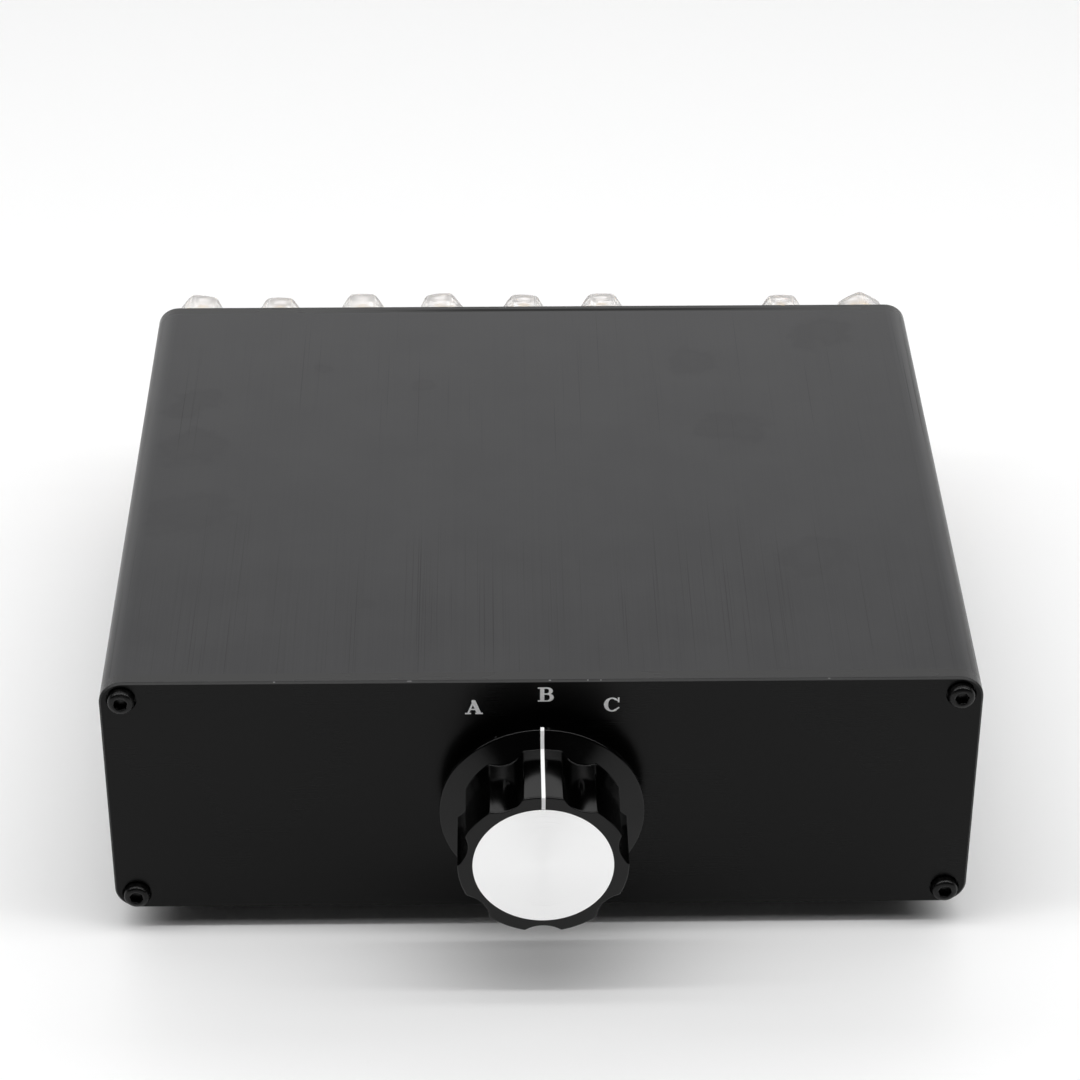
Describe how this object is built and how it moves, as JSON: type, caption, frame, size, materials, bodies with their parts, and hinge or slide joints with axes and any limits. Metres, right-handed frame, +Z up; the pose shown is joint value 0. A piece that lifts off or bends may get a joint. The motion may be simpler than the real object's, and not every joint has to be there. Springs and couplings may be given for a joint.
{
  "type": "audio source selector",
  "caption": "Black metal box with a fluted rotary knob on its front and two rows of clear-capped binding posts on its back, for switching one speaker pair between sources.",
  "frame": {"origin": "on the floor under the middle of the case", "axes": "+Z up, +X to the right seen from the front, knob towards -Y"},
  "size_m": [0.176, 0.1976, 0.063],
  "materials": {
    "case": "brushed, black anodised",
    "panel": "satin, black anodised",
    "screw": "black oxide",
    "rubber": "matt",
    "knob": "satin moulded",
    "disc": "spun",
    "steel": "plated",
    "cast": "die cast",
    "phenolic": "matt laminate",
    "contact": "silver plated",
    "gold": "gold plated",
    "red_plastic": "gloss",
    "black_plastic": "gloss",
    "clear_plastic": "clear moulded",
    "red_wire": "sleeved",
    "black_wire": "sleeved"
  },
  "bodies": {
    "case": {"case_sleeve": "case", "front_panel": "panel", "rear_panel": "panel", "panel_screws": "screw", "rubber_feet": "rubber", "switch_washer": "steel", "switch_nut": "steel", "detent_spring": "steel", "switch_spacers": "steel", "tie_bolts": "steel", "switch_frame": "cast", "switch_wafers": "phenolic", "wafer_lugs": "contact", "post_stems": "gold", "post_nuts": "gold", "collars_red": "red_plastic", "collars_black": "black_plastic", "post_washers": "black_plastic", "wires_red": "red_wire", "wires_black": "black_wire"},
    "knob": {"knob_body": "knob", "knob_cap": "disc", "knob_set_screw": "screw", "switch_shaft": "steel", "index_wheel": "steel", "switch_rotors": "phenolic", "rotor_contacts": "contact"},
    "insert_upper_1": {"insert_upper_1": "gold"},
    "cap_upper_1": {"cap_upper_1": "clear_plastic"},
    "insert_upper_2": {"insert_upper_2": "gold"},
    "cap_upper_2": {"cap_upper_2": "clear_plastic"},
    "insert_upper_3": {"insert_upper_3": "gold"},
    "cap_upper_3": {"cap_upper_3": "clear_plastic"},
    "insert_upper_4": {"insert_upper_4": "gold"},
    "cap_upper_4": {"cap_upper_4": "clear_plastic"},
    "insert_upper_5": {"insert_upper_5": "gold"},
    "cap_upper_5": {"cap_upper_5": "clear_plastic"},
    "insert_upper_6": {"insert_upper_6": "gold"},
    "cap_upper_6": {"cap_upper_6": "clear_plastic"},
    "insert_upper_7": {"insert_upper_7": "gold"},
    "cap_upper_7": {"cap_upper_7": "clear_plastic"},
    "insert_upper_8": {"insert_upper_8": "gold"},
    "cap_upper_8": {"cap_upper_8": "clear_plastic"},
    "insert_lower_1": {"insert_lower_1": "gold"},
    "cap_lower_1": {"cap_lower_1": "clear_plastic"},
    "insert_lower_2": {"insert_lower_2": "gold"},
    "cap_lower_2": {"cap_lower_2": "clear_plastic"},
    "insert_lower_3": {"insert_lower_3": "gold"},
    "cap_lower_3": {"cap_lower_3": "clear_plastic"},
    "insert_lower_4": {"insert_lower_4": "gold"},
    "cap_lower_4": {"cap_lower_4": "clear_plastic"},
    "insert_lower_5": {"insert_lower_5": "gold"},
    "cap_lower_5": {"cap_lower_5": "clear_plastic"},
    "insert_lower_6": {"insert_lower_6": "gold"},
    "cap_lower_6": {"cap_lower_6": "clear_plastic"},
    "insert_lower_7": {"insert_lower_7": "gold"},
    "cap_lower_7": {"cap_lower_7": "clear_plastic"},
    "insert_lower_8": {"insert_lower_8": "gold"},
    "cap_lower_8": {"cap_lower_8": "clear_plastic"}
  },
  "joints": [
    {"name": "knob_turn", "type": "hinge", "parent": "case", "child": "knob", "pos_m": [0, -0.075, 0.03425], "axis": [0, 1, 0], "range_deg": [-30, 30], "deforming": ["detent_spring"]},
    {"name": "lift_upper_1", "type": "slide", "parent": "case", "child": "insert_upper_1", "axis": [0, 1, 0], "range_m": [-0.0012, 0.002]},
    {"name": "turn_upper_1", "type": "hinge", "parent": "insert_upper_1", "child": "cap_upper_1", "pos_m": [-0.08, 0.075, 0.04735], "axis": [0, 1, 0], "range_deg": [-540, 900]},
    {"name": "lift_upper_2", "type": "slide", "parent": "case", "child": "insert_upper_2", "axis": [0, 1, 0], "range_m": [0, 0.0032]},
    {"name": "turn_upper_2", "type": "hinge", "parent": "insert_upper_2", "child": "cap_upper_2", "pos_m": [-0.06095, 0.075, 0.04735], "axis": [0, 1, 0], "range_deg": [0, 1440]},
    {"name": "lift_upper_3", "type": "slide", "parent": "case", "child": "insert_upper_3", "axis": [0, 1, 0], "range_m": [-0.0016, 0.0016]},
    {"name": "turn_upper_3", "type": "hinge", "parent": "insert_upper_3", "child": "cap_upper_3", "pos_m": [-0.0409, 0.075, 0.04735], "axis": [0, 1, 0], "range_deg": [-720, 720]},
    {"name": "lift_upper_4", "type": "slide", "parent": "case", "child": "insert_upper_4", "axis": [0, 1, 0], "range_m": [-0.0016, 0.0016]},
    {"name": "turn_upper_4", "type": "hinge", "parent": "insert_upper_4", "child": "cap_upper_4", "pos_m": [-0.02185, 0.075, 0.04735], "axis": [0, 1, 0], "range_deg": [-720, 720]},
    {"name": "lift_upper_5", "type": "slide", "parent": "case", "child": "insert_upper_5", "axis": [0, 1, 0], "range_m": [-0.0008, 0.0024]},
    {"name": "turn_upper_5", "type": "hinge", "parent": "insert_upper_5", "child": "cap_upper_5", "pos_m": [-0.0018, 0.075, 0.04735], "axis": [0, 1, 0], "range_deg": [-360, 1080]},
    {"name": "lift_upper_6", "type": "slide", "parent": "case", "child": "insert_upper_6", "axis": [0, 1, 0], "range_m": [-0.0012, 0.002]},
    {"name": "turn_upper_6", "type": "hinge", "parent": "insert_upper_6", "child": "cap_upper_6", "pos_m": [0.01725, 0.075, 0.04735], "axis": [0, 1, 0], "range_deg": [-540, 900]},
    {"name": "lift_upper_7", "type": "slide", "parent": "case", "child": "insert_upper_7", "axis": [0, 1, 0], "range_m": [0, 0.0032]},
    {"name": "turn_upper_7", "type": "hinge", "parent": "insert_upper_7", "child": "cap_upper_7", "pos_m": [0.06095, 0.075, 0.04735], "axis": [0, 1, 0], "range_deg": [0, 1440]},
    {"name": "lift_upper_8", "type": "slide", "parent": "case", "child": "insert_upper_8", "axis": [0, 1, 0], "range_m": [-0.0004, 0.0028]},
    {"name": "turn_upper_8", "type": "hinge", "parent": "insert_upper_8", "child": "cap_upper_8", "pos_m": [0.08, 0.075, 0.04735], "axis": [0, 1, 0], "range_deg": [-180, 1260]},
    {"name": "lift_lower_1", "type": "slide", "parent": "case", "child": "insert_lower_1", "axis": [0, 1, 0], "range_m": [-0.0004, 0.0028]},
    {"name": "turn_lower_1", "type": "hinge", "parent": "insert_lower_1", "child": "cap_lower_1", "pos_m": [-0.08, 0.075, 0.02115], "axis": [0, 1, 0], "range_deg": [-180, 1260]},
    {"name": "lift_lower_2", "type": "slide", "parent": "case", "child": "insert_lower_2", "axis": [0, 1, 0], "range_m": [0, 0.0032]},
    {"name": "turn_lower_2", "type": "hinge", "parent": "insert_lower_2", "child": "cap_lower_2", "pos_m": [-0.06095, 0.075, 0.02115], "axis": [0, 1, 0], "range_deg": [0, 1440]},
    {"name": "lift_lower_3", "type": "slide", "parent": "case", "child": "insert_lower_3", "axis": [0, 1, 0], "range_m": [-0.0008, 0.0024]},
    {"name": "turn_lower_3", "type": "hinge", "parent": "insert_lower_3", "child": "cap_lower_3", "pos_m": [-0.0409, 0.075, 0.02115], "axis": [0, 1, 0], "range_deg": [-360, 1080]},
    {"name": "lift_lower_4", "type": "slide", "parent": "case", "child": "insert_lower_4", "axis": [0, 1, 0], "range_m": [0, 0.0032]},
    {"name": "turn_lower_4", "type": "hinge", "parent": "insert_lower_4", "child": "cap_lower_4", "pos_m": [-0.02185, 0.075, 0.02115], "axis": [0, 1, 0], "range_deg": [0, 1440]},
    {"name": "lift_lower_5", "type": "slide", "parent": "case", "child": "insert_lower_5", "axis": [0, 1, 0], "range_m": [-0.0012, 0.002]},
    {"name": "turn_lower_5", "type": "hinge", "parent": "insert_lower_5", "child": "cap_lower_5", "pos_m": [-0.0018, 0.075, 0.02115], "axis": [0, 1, 0], "range_deg": [-540, 900]},
    {"name": "lift_lower_6", "type": "slide", "parent": "case", "child": "insert_lower_6", "axis": [0, 1, 0], "range_m": [-0.0004, 0.0028]},
    {"name": "turn_lower_6", "type": "hinge", "parent": "insert_lower_6", "child": "cap_lower_6", "pos_m": [0.01725, 0.075, 0.02115], "axis": [0, 1, 0], "range_deg": [-180, 1260]},
    {"name": "lift_lower_7", "type": "slide", "parent": "case", "child": "insert_lower_7", "axis": [0, 1, 0], "range_m": [0, 0.0032]},
    {"name": "turn_lower_7", "type": "hinge", "parent": "insert_lower_7", "child": "cap_lower_7", "pos_m": [0.06095, 0.075, 0.02115], "axis": [0, 1, 0], "range_deg": [0, 1440]},
    {"name": "lift_lower_8", "type": "slide", "parent": "case", "child": "insert_lower_8", "axis": [0, 1, 0], "range_m": [-0.0008, 0.0024]},
    {"name": "turn_lower_8", "type": "hinge", "parent": "insert_lower_8", "child": "cap_lower_8", "pos_m": [0.08, 0.075, 0.02115], "axis": [0, 1, 0], "range_deg": [-360, 1080]}
  ],
  "couplings": [
    {"joint": "turn_upper_1", "follows": "lift_upper_1", "rad_per_m": 7854},
    {"joint": "turn_upper_2", "follows": "lift_upper_2", "rad_per_m": 7854},
    {"joint": "turn_upper_3", "follows": "lift_upper_3", "rad_per_m": 7854},
    {"joint": "turn_upper_4", "follows": "lift_upper_4", "rad_per_m": 7854},
    {"joint": "turn_upper_5", "follows": "lift_upper_5", "rad_per_m": 7854},
    {"joint": "turn_upper_6", "follows": "lift_upper_6", "rad_per_m": 7854},
    {"joint": "turn_upper_7", "follows": "lift_upper_7", "rad_per_m": 7854},
    {"joint": "turn_upper_8", "follows": "lift_upper_8", "rad_per_m": 7854},
    {"joint": "turn_lower_1", "follows": "lift_lower_1", "rad_per_m": 7854},
    {"joint": "turn_lower_2", "follows": "lift_lower_2", "rad_per_m": 7854},
    {"joint": "turn_lower_3", "follows": "lift_lower_3", "rad_per_m": 7854},
    {"joint": "turn_lower_4", "follows": "lift_lower_4", "rad_per_m": 7854},
    {"joint": "turn_lower_5", "follows": "lift_lower_5", "rad_per_m": 7854},
    {"joint": "turn_lower_6", "follows": "lift_lower_6", "rad_per_m": 7854},
    {"joint": "turn_lower_7", "follows": "lift_lower_7", "rad_per_m": 7854},
    {"joint": "turn_lower_8", "follows": "lift_lower_8", "rad_per_m": 7854}
  ]
}
